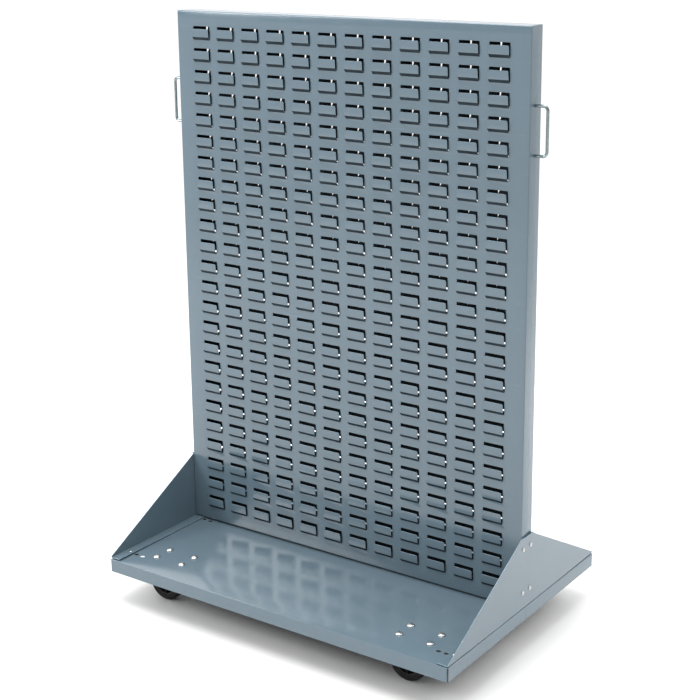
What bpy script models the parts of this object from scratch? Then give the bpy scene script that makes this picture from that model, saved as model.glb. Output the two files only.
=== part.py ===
"""Double-sided louvred bin rack on a caster base.

Two punched sheet-steel panels stand back to back between a pair of side gussets, over a base
of two steel trays. Four swivel casters are bolted under the trays and a wire pull is screwed
to each side of the front panel. Metres, +Z up; the origin is on the floor at the centre of
the base, the front panel faces -Y and the gussets close the ends along X.
"""

import math

import bmesh
import bpy
from mathutils import Matrix, Vector

# Sheet and clearances
SHEET = 0.0015
GAP = 0.0003

# Base: two trays side by side, open underneath
BASE_WIDTH = 0.9144
BASE_DEPTH = 0.6477
DECK_TOP = 0.108
TRAY_FLANGE = 0.031

# Louvre panels
PANEL_TOP = 1.346
PANEL_LIFT = 0.004
RACK_THICKNESS = 0.046
COLUMNS = 12
ROWS = 24
COLUMN_PITCH = 0.06985
ROW_PITCH = 0.0494
FIRST_ROW_DROP = 0.0343
REAR_ROW_RISE = 0.014
HOLE_WIDTH = 0.048
HOLE_HEIGHT = 0.031
TONGUE_REACH = 0.0052
TONGUE_RISE = 0.0252
TONGUE_TAPER = 0.001

# Gussets
GUSSET_INSET = 0.0005
GUSSET_RISE = 0.166
GUSSET_TOE = 0.005
GUSSET_END_GAP = 0.002
GUSSET_FLANGE = 0.025
GUSSET_LIP = 0.0035

# Screws: shank radius, head radius, head height
SCREW = (0.0024, 0.0046, 0.0028)
SCREW_RIM_SHARE = 0.45
SCREW_CROWN_SHARE = 0.55
SCREW_LENGTH = 0.009
SCREW_SIDES = 8
HOLE_MARGIN = 0.0006
GUSSET_SCREW_Y = 0.016
GUSSET_SCREW_RISES = {"lower": 0.037, "upper": 0.138}
TRAY_SCREW_X = 0.441
TRAY_SCREW_Y = 0.272

# Spare fixing slots in the decks
SLOT_LENGTH = 0.0115
SLOT_WIDTH = 0.0085
SLOT_X = (0.404, 0.4225)
SLOT_Y = (0.028, 0.272)

# Wire pulls
PULL_ROD_RADIUS = 0.0032
PULL_SPACING = 0.100
PULL_REACH = 0.029
PULL_BEND = 0.009
PULL_HEIGHT = 1.139
PULL_Y = -0.0045
PULL_SCREW = (0.0016, 0.0036, 0.0022)
PULL_SCREW_LENGTH = 0.011
PULL_TAPPED_DEPTH = 0.012
PULL_TAPPED_RADIUS = 0.0020

# Casters
CASTER_X = 0.336
CASTER_Y = 0.2335
CASTER_TRAIL = 0.025
BOLT_SPACING_X = 0.0762
BOLT_SPACING_Y = 0.0445
BOLT_HEAD_RADIUS = 0.0085
BOLT_HEAD_HEIGHT = 0.004
BOLT_CROWN_SHARE = 0.6
BOLT_NECK = 0.0084
BOLT_HOLE = 0.0092
BOLT_TAIL = 0.006
PLATE_LENGTH = 0.098
PLATE_WIDTH = 0.064
PLATE_THICKNESS = 0.0027
RACE_RADIUS = 0.025
RACE_HEIGHT = 0.0055
KINGPIN_RADIUS = 0.0048
KINGPIN_HEAD_RADIUS = 0.009
KINGPIN_HEAD_HEIGHT = 0.003
CROWN_THICKNESS = 0.0025
CROWN_BOSS_HEIGHT = 0.0032
CROWN_BOSS_RADIUS = 0.019
CROWN_HALF_LENGTH = 0.023
FORK_SHEET = 0.0025
FORK_INNER_WIDTH = 0.0350
CROWN_SIDE_OVERLAP = 0.002
LEG_TOP_INSET = 0.001
LEG_BACK = 0.012
LEG_BACK_RISE = 0.004
LEG_FOOT = 0.008
LEG_FOOT_DROP = 0.011
LEG_FRONT = 0.016
LEG_FRONT_RISE = 0.022
CUTTER_OVERRUN = 0.002
WHEEL_RADIUS = 0.04445
TYRE_WIDTH = 0.03175
TYRE_INNER_RADIUS = 0.031
TYRE_EDGE_INSET = 0.001
TYRE_SHOULDER_DROP = 0.006
TYRE_SHOULDER_WIDTH = 0.008
HUB_WIDTH = 0.0335
HUB_WEB = 0.008
HUB_RIM = 0.003
HUB_BOSS_RADIUS = 0.011
AXLE_RADIUS = 0.0040
AXLE_CLEARANCE = 0.0005
AXLE_HEAD_RADIUS = 0.0075
AXLE_HEAD_HEIGHT = 0.0045

HALF_WIDTH = BASE_WIDTH / 2
HALF_DEPTH = BASE_DEPTH / 2
HALF_RACK = RACK_THICKNESS / 2
GUSSET_OUTER_X = HALF_WIDTH - GUSSET_INSET
GUSSET_INNER_X = GUSSET_OUTER_X - SHEET
PANEL_HALF_WIDTH = GUSSET_INNER_X - GAP
PANEL_BOTTOM = DECK_TOP + PANEL_LIFT
PLATE_TOP = DECK_TOP - SHEET - GAP
RACE_BOTTOM = PLATE_TOP - PLATE_THICKNESS - RACE_HEIGHT
CROWN_TOP = RACE_BOTTOM - GAP - CROWN_BOSS_HEIGHT
CROWN_BOTTOM = CROWN_TOP - CROWN_THICKNESS

SIDES = {"left": -1, "right": 1}
ENDS = {"front": -1, "rear": 1}

MATERIALS = {
    "blue_grey_paint": ((0.180, 0.235, 0.275), 0.38, 0.15),
    "zinc_plate": ((0.62, 0.63, 0.62), 0.30, 1.0),
    "bright_chrome": ((0.78, 0.79, 0.80), 0.14, 1.0),
    "black_rubber": ((0.012, 0.012, 0.013), 0.70, 0.0),
    "dark_nylon": ((0.045, 0.046, 0.048), 0.50, 0.0),
}


# Scene and material helpers


def clear_scene():
    for obj in list(bpy.data.objects):
        bpy.data.objects.remove(obj, do_unlink=True)


def new_collection(name, hidden=False):
    collection = bpy.data.collections.new(name)
    collection.hide_render = hidden
    bpy.context.scene.collection.children.link(collection)
    return collection


def make_material(name):
    colour, roughness, metallic = MATERIALS[name]
    material = bpy.data.materials.new(name)
    material.use_nodes = True
    shader = material.node_tree.nodes["Principled BSDF"]
    shader.inputs["Base Color"].default_value = (*colour, 1)
    shader.inputs["Roughness"].default_value = roughness
    shader.inputs["Metallic"].default_value = metallic
    material.diffuse_color = (*colour, 1)
    return material


def mesh_object(name, bm, collection, material=None):
    mesh = bpy.data.meshes.new(name)
    bmesh.ops.recalc_face_normals(bm, faces=bm.faces)
    bm.to_mesh(mesh)
    bm.free()
    obj = bpy.data.objects.new(name, mesh)
    collection.objects.link(obj)
    if material:
        mesh.materials.append(material)
    if collection is CUTTERS:
        obj.hide_render = True
        obj.display_type = "WIRE"
    return obj


def boolean(obj, operation, other):
    modifier = obj.modifiers.new(f"{operation.lower()} {other.name}", "BOOLEAN")
    modifier.operation = operation
    modifier.object = other


# Solids added to a bmesh


def add_box(bm, low, high):
    low, high = Vector(low), Vector(high)
    size = high - low
    matrix = Matrix.Translation((low + high) / 2) @ Matrix.Diagonal((*size, 1))
    return bmesh.ops.create_cube(bm, size=1, matrix=matrix)["verts"]


def add_rod(bm, start, end, radius, sides, end_radius=None):
    """A cylinder or cone frustum from start to end."""
    start, end = Vector(start), Vector(end)
    axis = end - start
    turn = axis.to_track_quat("Z", "Y").to_matrix().to_4x4()
    bmesh.ops.create_cone(
        bm,
        cap_ends=True,
        segments=sides,
        radius1=radius,
        radius2=radius if end_radius is None else end_radius,
        depth=axis.length,
        matrix=Matrix.Translation((start + end) / 2) @ turn,
    )


def turned_ring(name, profile, sides, centre, collection, material):
    """A ring about the Y axis: profile is a closed loop of (radius, y) points."""
    bm = bmesh.new()
    loop = [bm.verts.new((radius, y, 0)) for radius, y in profile]
    edges = [bm.edges.new((loop[i - 1], loop[i])) for i in range(len(loop))]
    bmesh.ops.spin(
        bm,
        geom=loop + edges,
        cent=(0, 0, 0),
        axis=(0, 1, 0),
        angle=math.tau,
        steps=sides,
        use_merge=True,
    )
    bmesh.ops.remove_doubles(bm, verts=bm.verts, dist=1e-6)
    obj = mesh_object(name, bm, collection, material)
    obj.location = centre
    obj.data.shade_smooth()
    obj.data.set_sharp_from_angle(angle=math.radians(35))
    return obj


def plate_outline(name, points, thickness, collection, material=None):
    """A flat plate cut to a 2D outline in its own XY plane, centred on that plane, as a mesh."""
    curve = bpy.data.curves.new(name, "CURVE")
    curve.dimensions = "2D"
    curve.fill_mode = "BOTH"
    curve.extrude = thickness / 2
    spline = curve.splines.new("POLY")
    spline.points.add(len(points) - 1)
    for point, (x, y) in zip(spline.points, points):
        point.co = (x, y, 0, 1)
    spline.use_cyclic_u = True
    outline = bpy.data.objects.new(name + "_outline", curve)
    collection.objects.link(outline)
    graph = bpy.context.evaluated_depsgraph_get()
    mesh = bpy.data.meshes.new_from_object(outline.evaluated_get(graph))
    bpy.data.objects.remove(outline)
    bm = bmesh.new()
    bm.from_mesh(mesh)
    bmesh.ops.remove_doubles(bm, verts=bm.verts, dist=1e-6)
    return mesh_object(name, bm, collection, material)


# Louvre panels


def panel_breaks(facing):
    """The x and z values where the panel's sheet changes: flange folds and hole edges."""
    across = [-PANEL_HALF_WIDTH, -PANEL_HALF_WIDTH + SHEET]
    for column in range(COLUMNS):
        middle = (column - (COLUMNS - 1) / 2) * COLUMN_PITCH
        across += [middle - HOLE_WIDTH / 2, middle + HOLE_WIDTH / 2]
    across += [PANEL_HALF_WIDTH - SHEET, PANEL_HALF_WIDTH]
    upward = [PANEL_TOP, PANEL_TOP - SHEET]
    first = PANEL_TOP - FIRST_ROW_DROP + (REAR_ROW_RISE if facing > 0 else 0)
    for row in range(ROWS):
        top = first - row * ROW_PITCH
        upward += [top, top - HOLE_HEIGHT]
    upward += [PANEL_BOTTOM + SHEET, PANEL_BOTTOM]
    return across, upward[::-1]


def is_hole(column, row, columns, rows):
    inside = 1 < column < columns - 2 and 1 < row < rows - 2
    return inside and column % 2 == 0 and row % 2 == 0


def louvre_panel(name, facing):
    """One pan: a punched face at y = facing * HALF_RACK with flanges folded back to the middle."""
    across, upward = panel_breaks(facing)
    columns, rows = len(across) - 1, len(upward) - 1
    bm = bmesh.new()
    bmesh.ops.create_grid(bm, x_segments=columns, y_segments=rows, size=0.5)
    for vert in bm.verts:
        column = round((vert.co.x + 0.5) * columns)
        row = round((vert.co.y + 0.5) * rows)
        vert.co = (across[column], facing * HALF_RACK, upward[row])
    cells = {}
    for face in bm.faces:
        centre = face.calc_center_median()
        column = sum(x < centre.x for x in across) - 1
        row = sum(z < centre.z for z in upward) - 1
        cells[column, row] = face
    punched = [face for (c, r), face in cells.items() if is_hole(c, r, columns, rows)]
    bmesh.ops.delete(bm, geom=punched, context="FACES")
    inward = Vector((0, -facing * SHEET, 0))
    back = bmesh.ops.extrude_face_region(bm, geom=bm.faces[:])["geom"]
    bmesh.ops.translate(bm, vec=inward, verts=[v for v in back if isinstance(v, bmesh.types.BMVert)])
    bmesh.ops.recalc_face_normals(bm, faces=bm.faces)
    fold_flanges(bm, facing, across, upward)
    raise_tongues(bm, facing)
    return mesh_object(name, bm, RACK, PAINT)


def fold_flanges(bm, facing, across, upward):
    """Pulls the outer strip of the back face inward to the middle of the rack."""
    strip = []
    for face in bm.faces:
        centre = face.calc_center_median()
        on_back = abs(centre.y - facing * (HALF_RACK - SHEET)) < 1e-6
        edge_x = abs(centre.x) > across[-2]
        edge_z = centre.z > upward[-2] or centre.z < upward[1]
        if on_back and (edge_x or edge_z):
            strip.append(face)
    grown = bmesh.ops.extrude_face_region(bm, geom=strip)["geom"]
    bmesh.ops.delete(bm, geom=strip, context="FACES_ONLY")
    depth = HALF_RACK - SHEET - GAP / 2
    verts = [v for v in grown if isinstance(v, bmesh.types.BMVert)]
    bmesh.ops.translate(bm, vec=(0, -facing * depth, 0), verts=verts)


def raise_tongues(bm, facing):
    """Lances a tongue out of every hole: its lower wall is drawn up and outward as one flap."""
    ledges = []
    for face in bm.faces:
        centre = face.calc_center_median()
        widths = [abs(a.co.x - b.co.x) for a in face.verts for b in face.verts]
        flat = abs(face.normal.z) > 0.99 and abs(max(widths) - HOLE_WIDTH) < 1e-5
        if flat and face.normal.z > 0 and PANEL_BOTTOM + SHEET < centre.z < PANEL_TOP - SHEET:
            ledges.append(face)
    flaps = bmesh.ops.extrude_discrete_faces(bm, faces=ledges)["faces"]
    for flap in flaps:
        middle = flap.calc_center_median().x
        for vert in flap.verts:
            vert.co.x -= math.copysign(TONGUE_TAPER, vert.co.x - middle)
            vert.co.y += facing * TONGUE_REACH
            vert.co.z += TONGUE_RISE


# Base trays


def base_tray(name, end):
    """A shallow pan turned upside down: a deck with a flange down each edge."""
    bm = bmesh.new()
    near, far = sorted((end * GAP / 2, end * HALF_DEPTH))
    add_box(bm, (-HALF_WIDTH, near, DECK_TOP - TRAY_FLANGE), (HALF_WIDTH, far, DECK_TOP))
    underside = [f for f in bm.faces if f.calc_center_median().z < DECK_TOP - TRAY_FLANGE + 1e-6]
    bmesh.ops.delete(bm, geom=underside, context="FACES")
    tray = mesh_object(name, bm, RACK, PAINT)
    shell = tray.modifiers.new("sheet", "SOLIDIFY")
    shell.thickness = SHEET
    shell.offset = -1
    shell.use_even_offset = True
    boolean(tray, "DIFFERENCE", tray_cutter(name, end))
    return tray


def tray_cutter(name, end):
    """Square holes for the caster bolts, slots for fixings and round holes for the screws."""
    bm = bmesh.new()
    low, high = DECK_TOP - 2 * SHEET, DECK_TOP + SHEET
    for side in SIDES.values():
        for x, y in bolt_places(side, end):
            half = BOLT_HOLE / 2
            add_box(bm, (x - half, y - half, low), (x + half, y + half, high))
        for x in SLOT_X:
            for y in SLOT_Y:
                half_x, half_y = SLOT_LENGTH / 2, SLOT_WIDTH / 2
                place = Vector((side * x, end * y, 0))
                corner = Vector((half_x, half_y, 0))
                add_box(bm, place - corner + Vector((0, 0, low)), place + corner + Vector((0, 0, high)))
        x, y = side * TRAY_SCREW_X, end * TRAY_SCREW_Y
        add_rod(bm, (x, y, low), (x, y, high), SCREW[0] + HOLE_MARGIN, SCREW_SIDES)
    return mesh_object(name + "_cutter", bm, CUTTERS)


# Gussets


def gusset(name, side):
    """A side plate from the deck up to the panels, with a flange on the deck and a top lip."""
    foot = DECK_TOP + GAP
    toe = HALF_DEPTH - GUSSET_END_GAP
    top = DECK_TOP + GUSSET_RISE
    outline = [
        (-toe, foot),
        (toe, foot),
        (toe, foot + GUSSET_TOE),
        (HALF_RACK, top),
        (-HALF_RACK, top),
        (-toe, foot + GUSSET_TOE),
    ]
    plate = plate_outline(name, outline, SHEET, RACK, PAINT)
    stand = Matrix(((0, 0, 1, 0), (1, 0, 0, 0), (0, 1, 0, 0), (0, 0, 0, 1)))
    plate.data.transform(stand)
    plate.data.transform(Matrix.Translation((side * (GUSSET_OUTER_X - SHEET / 2), 0, 0)))
    bm = bmesh.new()
    near, far = sorted((side * (GUSSET_INNER_X - GUSSET_FLANGE), side * (GUSSET_INNER_X + SHEET / 2)))
    add_box(bm, (near, -toe, foot), (far, toe, foot + SHEET))
    near, far = sorted((side * (GUSSET_INNER_X + SHEET / 2), side * (GUSSET_OUTER_X + GUSSET_LIP)))
    add_box(bm, (near, -HALF_RACK, top - SHEET), (far, HALF_RACK, top))
    boolean(plate, "UNION", mesh_object(name + "_folds", bm, CUTTERS))
    bm = bmesh.new()
    for y in (-GUSSET_SCREW_Y, GUSSET_SCREW_Y):
        for rise in GUSSET_SCREW_RISES.values():
            z = DECK_TOP + rise
            inner, outer = side * (GUSSET_INNER_X - SHEET), side * (GUSSET_OUTER_X + SHEET)
            add_rod(bm, (inner, y, z), (outer, y, z), SCREW[0] + HOLE_MARGIN, SCREW_SIDES)
    for end in ENDS.values():
        x, y = side * TRAY_SCREW_X, end * TRAY_SCREW_Y
        add_rod(bm, (x, y, foot - SHEET), (x, y, foot + 2 * SHEET), SCREW[0] + HOLE_MARGIN, SCREW_SIDES)
    boolean(plate, "DIFFERENCE", mesh_object(name + "_cutter", bm, CUTTERS))
    return plate


# Screws


def screw(name, seat, outward, sizes, length, material):
    """A pan-head screw turned about its own Z: seat is the point under the head."""
    shank_radius, head_radius, head_height = sizes
    profile = [
        (0, -length),
        (shank_radius, -length),
        (shank_radius, GAP),
        (head_radius, GAP),
        (head_radius, GAP + head_height * SCREW_RIM_SHARE),
        (head_radius * SCREW_CROWN_SHARE, GAP + head_height),
        (0, GAP + head_height),
    ]
    bm = bmesh.new()
    points = [bm.verts.new((radius, 0, z)) for radius, z in profile]
    edges = [bm.edges.new(pair) for pair in zip(points, points[1:])]
    bmesh.ops.spin(
        bm,
        geom=points + edges,
        cent=(0, 0, 0),
        axis=(0, 0, 1),
        angle=math.tau,
        steps=SCREW_SIDES,
        use_merge=True,
    )
    bmesh.ops.remove_doubles(bm, verts=bm.verts, dist=1e-6)
    obj = mesh_object(name, bm, RACK, material)
    obj.location = seat
    obj.rotation_mode = "QUATERNION"
    obj.rotation_quaternion = Vector(outward).to_track_quat("Z", "Y")
    return obj


def all_screws():
    for side_name, side in SIDES.items():
        for end_name, end in ENDS.items():
            for level, rise in GUSSET_SCREW_RISES.items():
                seat = (side * GUSSET_OUTER_X, end * GUSSET_SCREW_Y, DECK_TOP + rise)
                name = f"gusset_screw_{side_name}_{end_name}_{level}"
                screw(name, seat, (side, 0, 0), SCREW, SCREW_LENGTH, ZINC)
            seat = (side * TRAY_SCREW_X, end * TRAY_SCREW_Y, DECK_TOP + GAP + SHEET)
            screw(f"tray_screw_{side_name}_{end_name}", seat, (0, 0, 1), SCREW, SCREW_LENGTH, ZINC)
        for level, z in pull_levels().items():
            seat = (side * (PANEL_HALF_WIDTH - SHEET), PULL_Y, z)
            name = f"pull_screw_{side_name}_{level}"
            screw(name, seat, (-side, 0, 0), PULL_SCREW, PULL_SCREW_LENGTH, ZINC)


# Wire pulls


def pull_levels():
    return {"lower": PULL_HEIGHT - PULL_SPACING / 2, "upper": PULL_HEIGHT + PULL_SPACING / 2}


def wire_pull(name, side):
    """A rod bent into a U, with a tapped hole in each end for the screws inside the panel."""
    low, high = pull_levels().values()
    foot, bar = PANEL_HALF_WIDTH + GAP, PANEL_HALF_WIDTH + PULL_REACH
    path = [(foot, low)]
    for centre_z, start in ((low + PULL_BEND, -90), (high - PULL_BEND, 0)):
        for step in range(4):
            angle = math.radians(start + 30 * step)
            reach = bar - PULL_BEND + PULL_BEND * math.cos(angle)
            path.append((reach, centre_z + PULL_BEND * math.sin(angle)))
    path.append((foot, high))
    curve = bpy.data.curves.new(name, "CURVE")
    curve.dimensions = "3D"
    curve.bevel_depth = PULL_ROD_RADIUS
    curve.bevel_resolution = 2
    curve.use_fill_caps = True
    spline = curve.splines.new("POLY")
    spline.points.add(len(path) - 1)
    for point, (x, z) in zip(spline.points, path):
        point.co = (side * x, PULL_Y, z, 1)
    wire = bpy.data.objects.new(name + "_wire", curve)
    RACK.objects.link(wire)
    graph = bpy.context.evaluated_depsgraph_get()
    mesh = bpy.data.meshes.new_from_object(wire.evaluated_get(graph))
    bpy.data.objects.remove(wire)
    bm = bmesh.new()
    bm.from_mesh(mesh)
    bmesh.ops.remove_doubles(bm, verts=bm.verts, dist=1e-6)
    pull = mesh_object(name, bm, RACK, CHROME)
    pull.data.shade_smooth()
    pull.data.set_sharp_from_angle(angle=math.radians(50))
    bm = bmesh.new()
    for z in (low, high):
        inner, outer = side * (foot - SHEET), side * (foot + PULL_TAPPED_DEPTH)
        add_rod(bm, (inner, PULL_Y, z), (outer, PULL_Y, z), PULL_TAPPED_RADIUS, SCREW_SIDES)
    boolean(pull, "DIFFERENCE", mesh_object(name + "_cutter", bm, CUTTERS))
    return pull


def panel_cutter(name, facing):
    """Screw holes through the panel's side flanges."""
    bm = bmesh.new()
    for side in SIDES.values():
        inner, outer = side * (PANEL_HALF_WIDTH - 2 * SHEET), side * (PANEL_HALF_WIDTH + SHEET)
        for rise in GUSSET_SCREW_RISES.values():
            y, z = facing * GUSSET_SCREW_Y, DECK_TOP + rise
            add_rod(bm, (inner, y, z), (outer, y, z), SCREW[0] + HOLE_MARGIN, SCREW_SIDES)
        if facing < 0:
            for z in pull_levels().values():
                radius = PULL_SCREW[0] + HOLE_MARGIN
                add_rod(bm, (inner, PULL_Y, z), (outer, PULL_Y, z), radius, SCREW_SIDES)
    return mesh_object(name + "_cutter", bm, CUTTERS)


# Casters


def bolt_places(side, end):
    return [
        (side * CASTER_X + dx * BOLT_SPACING_X / 2, end * CASTER_Y + dy * BOLT_SPACING_Y / 2)
        for dx in (-1, 1)
        for dy in (-1, 1)
    ]


def caster(name, side, end):
    """A swivel caster trailing to -X: fixed top plate, swivelling fork and axle, turning wheel."""
    x, y = side * CASTER_X, end * CASTER_Y
    top_plate(name + "_plate", side, end)
    swivel = bpy.data.objects.new(name + "_swivel", None)
    RACK.objects.link(swivel)
    swivel.location = (x, y, CROWN_BOTTOM)
    hub_point = Vector((x - CASTER_TRAIL, y, WHEEL_RADIUS))
    for piece in (
        fork(name + "_fork", x, y),
        axle(name + "_axle", hub_point),
        wheel_hub(name + "_hub", hub_point),
        tyre(name + "_tyre", hub_point),
    ):
        piece.parent = swivel
        piece.matrix_parent_inverse = Matrix.Translation(-swivel.location)


def top_plate(name, side, end):
    """The bolted plate with its four coach bolts, the upper ball race and the kingpin."""
    x, y = side * CASTER_X, end * CASTER_Y
    half_x, half_y = PLATE_LENGTH / 2, PLATE_WIDTH / 2
    plate_bottom = PLATE_TOP - PLATE_THICKNESS
    bm = bmesh.new()
    add_box(bm, (x - half_x, y - half_y, plate_bottom), (x + half_x, y + half_y, PLATE_TOP))
    plate = mesh_object(name, bm, RACK, ZINC)
    overlap = PLATE_THICKNESS / 2
    bm = bmesh.new()
    add_rod(bm, (x, y, RACE_BOTTOM), (x, y, plate_bottom + overlap), RACE_RADIUS, 12)
    boolean(plate, "UNION", mesh_object(name + "_race", bm, CUTTERS))
    head_top = CROWN_BOTTOM - GAP
    bm = bmesh.new()
    add_rod(bm, (x, y, head_top - overlap), (x, y, RACE_BOTTOM + overlap), KINGPIN_RADIUS, 8)
    boolean(plate, "UNION", mesh_object(name + "_kingpin", bm, CUTTERS))
    bm = bmesh.new()
    add_rod(bm, (x, y, head_top - KINGPIN_HEAD_HEIGHT), (x, y, head_top), KINGPIN_HEAD_RADIUS, 8)
    boolean(plate, "UNION", mesh_object(name + "_kingpin_head", bm, CUTTERS))
    head_base = DECK_TOP + GAP
    half = BOLT_NECK / 2
    bm = bmesh.new()
    for bolt_x, bolt_y in bolt_places(side, end):
        low = (bolt_x - half, bolt_y - half, plate_bottom - BOLT_TAIL)
        add_box(bm, low, (bolt_x + half, bolt_y + half, head_base + BOLT_HEAD_HEIGHT / 4))
    boolean(plate, "UNION", mesh_object(name + "_bolt_necks", bm, CUTTERS))
    bm = bmesh.new()
    for bolt_x, bolt_y in bolt_places(side, end):
        seat, crown = (bolt_x, bolt_y, head_base), (bolt_x, bolt_y, head_base + BOLT_HEAD_HEIGHT)
        add_rod(bm, seat, crown, BOLT_HEAD_RADIUS, 8, BOLT_HEAD_RADIUS * BOLT_CROWN_SHARE)
    boolean(plate, "UNION", mesh_object(name + "_bolt_heads", bm, CUTTERS))
    return plate


def fork(name, x, y):
    """A bent sheet fork: a crown with the lower race on it and a leg down each side to the axle."""
    inner, outer = FORK_INNER_WIDTH / 2, FORK_INNER_WIDTH / 2 + FORK_SHEET
    axle_x = x - CASTER_TRAIL
    bm = bmesh.new()
    half_x, half_y = CROWN_HALF_LENGTH, inner + CROWN_SIDE_OVERLAP
    add_box(bm, (x - half_x, y - half_y, CROWN_BOTTOM), (x + half_x, y + half_y, CROWN_TOP))
    body = mesh_object(name, bm, RACK, ZINC)
    leg_top, leg_half = CROWN_TOP - CROWN_THICKNESS / 3, CROWN_HALF_LENGTH - LEG_TOP_INSET
    leg = [
        (x + leg_half, leg_top),
        (x - leg_half, leg_top),
        (axle_x - LEG_BACK, WHEEL_RADIUS + LEG_BACK_RISE),
        (axle_x - LEG_FOOT, WHEEL_RADIUS - LEG_FOOT_DROP),
        (axle_x + LEG_FOOT, WHEEL_RADIUS - LEG_FOOT_DROP),
        (x + LEG_FRONT, WHEEL_RADIUS + LEG_FRONT_RISE),
    ]
    for cheek in (-1, 1):
        plate = plate_outline(f"{name}_leg_{cheek}", leg, FORK_SHEET, CUTTERS)
        plate.data.transform(Matrix.Rotation(math.radians(90), 4, "X"))
        plate.data.transform(Matrix.Translation((0, y + cheek * (inner + FORK_SHEET / 2), 0)))
        boolean(body, "UNION", plate)
    bm = bmesh.new()
    add_rod(bm, (x, y, CROWN_TOP - CROWN_THICKNESS / 2), (x, y, RACE_BOTTOM - GAP), CROWN_BOSS_RADIUS, 12)
    boolean(body, "UNION", mesh_object(name + "_boss", bm, CUTTERS))
    bm = bmesh.new()
    clear = KINGPIN_RADIUS + 2 * GAP
    low, high = CROWN_BOTTOM - CUTTER_OVERRUN, RACE_BOTTOM + CUTTER_OVERRUN
    add_rod(bm, (x, y, low), (x, y, high), clear, 8)
    boolean(body, "DIFFERENCE", mesh_object(name + "_kingpin_hole", bm, CUTTERS))
    bm = bmesh.new()
    clear = AXLE_RADIUS + 2 * GAP
    ends = [(axle_x, y + cheek * (outer + CUTTER_OVERRUN), WHEEL_RADIUS) for cheek in (-1, 1)]
    add_rod(bm, *ends, clear, 8)
    boolean(body, "DIFFERENCE", mesh_object(name + "_axle_hole", bm, CUTTERS))
    return body


def axle(name, hub_point):
    """The axle bolt with its head outside one cheek and its nut outside the other."""
    x, y, z = hub_point
    outer = FORK_INNER_WIDTH / 2 + FORK_SHEET + GAP
    bm = bmesh.new()
    overlap = AXLE_HEAD_HEIGHT / 2
    add_rod(bm, (x, y - outer - overlap, z), (x, y + outer + overlap, z), AXLE_RADIUS, 8)
    shaft = mesh_object(name, bm, RACK, ZINC)
    bm = bmesh.new()
    for cheek in (-1, 1):
        start, end = y + cheek * outer, y + cheek * (outer + AXLE_HEAD_HEIGHT)
        add_rod(bm, (x, start, z), (x, end, z), AXLE_HEAD_RADIUS, 6)
    boolean(shaft, "UNION", mesh_object(name + "_heads", bm, CUTTERS))
    return shaft


def wheel_hub(name, hub_point):
    """The wheel centre: a boss on the axle, a thin web and a rim under the tyre."""
    bore = AXLE_RADIUS + AXLE_CLEARANCE
    rim = TYRE_INNER_RADIUS - GAP
    half, web = HUB_WIDTH / 2, HUB_WEB / 2
    profile = [
        (bore, -half),
        (HUB_BOSS_RADIUS, -half),
        (rim - HUB_RIM, -web),
        (rim, -TYRE_WIDTH / 2 + HUB_RIM),
    ]
    profile += [(radius, -y) for radius, y in reversed(profile)]
    return turned_ring(name, profile, 12, hub_point, RACK, NYLON)


def tyre(name, hub_point):
    """The rubber tread, crowned across its width."""
    half = TYRE_WIDTH / 2
    profile = [
        (TYRE_INNER_RADIUS, -half + TYRE_EDGE_INSET),
        (WHEEL_RADIUS - TYRE_SHOULDER_DROP, -half),
        (WHEEL_RADIUS, -half + TYRE_SHOULDER_WIDTH),
    ]
    profile += [(radius, -y) for radius, y in reversed(profile)]
    return turned_ring(name, profile, 24, hub_point, RACK, RUBBER)


# Build

clear_scene()
RACK = new_collection("louvred_bin_rack")
CUTTERS = new_collection("cutters", hidden=True)
PAINT = make_material("blue_grey_paint")
ZINC = make_material("zinc_plate")
CHROME = make_material("bright_chrome")
RUBBER = make_material("black_rubber")
NYLON = make_material("dark_nylon")

for end_name, end_sign in ENDS.items():
    panel = louvre_panel(f"{end_name}_louvre_panel", end_sign)
    boolean(panel, "DIFFERENCE", panel_cutter(panel.name, end_sign))
    base_tray(f"{end_name}_base_tray", end_sign)
    for side_name, side_sign in SIDES.items():
        caster(f"caster_{end_name}_{side_name}", side_sign, end_sign)
for side_name, side_sign in SIDES.items():
    gusset(f"{side_name}_gusset", side_sign)
    wire_pull(f"{side_name}_pull", side_sign)
all_screws()
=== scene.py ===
"""The looks of a double-sided louvred bin rack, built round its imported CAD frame.

Metres, +Z up, front panel facing -Y. Every piece is made in the frame's own coordinates and
rides on one of its bodies: the rack, a caster's swivel or a caster's wheel.
"""

import math
import random

import bmesh
import bpy
from mathutils import Matrix, Vector


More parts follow.
